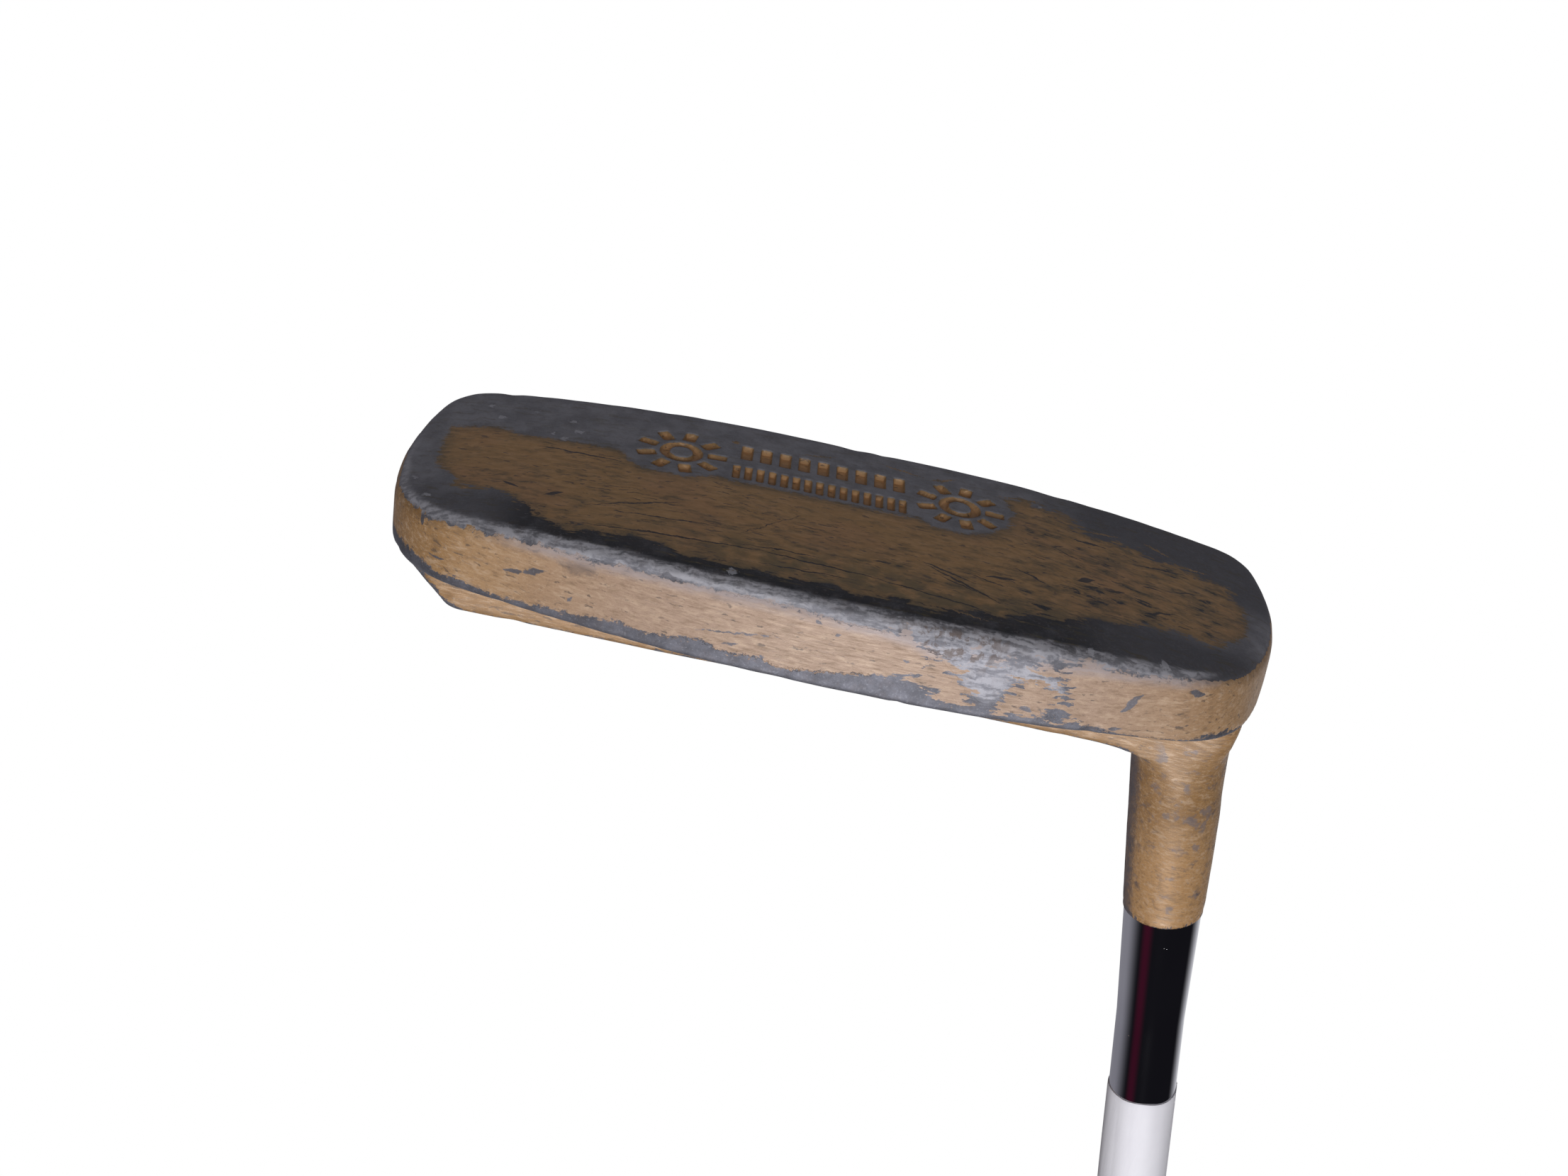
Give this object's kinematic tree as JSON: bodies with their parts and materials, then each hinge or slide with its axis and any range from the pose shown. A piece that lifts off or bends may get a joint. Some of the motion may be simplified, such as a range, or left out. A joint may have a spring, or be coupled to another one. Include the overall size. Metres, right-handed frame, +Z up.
{
  "type": "blade putter",
  "caption": "Flanged blade putter with a cast head, a stepped steel shaft with a paper label, and a moulded flat-front grip.",
  "frame": {"origin": "on the flat middle of the sole, under the middle of the head, with the club standing at address", "axes": "+X from heel to toe, +Y the way the striking face points, +Z up. The shaft line lies in a plane of constant Y and leans towards the heel."},
  "size_m": [0.275, 0.0484, 0.8753],
  "materials": {
    "head_paint": "worn metallic gold paint over a zinc casting",
    "adhesive": "cured",
    "shaft_chrome": "polished, lightly scratched",
    "label_paper": "matt white paper",
    "tape": "matt",
    "grip_rubber": "matt black, fine ribs on the front"
  },
  "bodies": {
    "root": {"head_casting": "head_paint", "hosel_bond": "adhesive", "shaft_tube": "shaft_chrome", "shaft_label": "label_paper", "grip_tape": "tape", "grip_sleeve": "grip_rubber"}
  },
  "joints": []
}
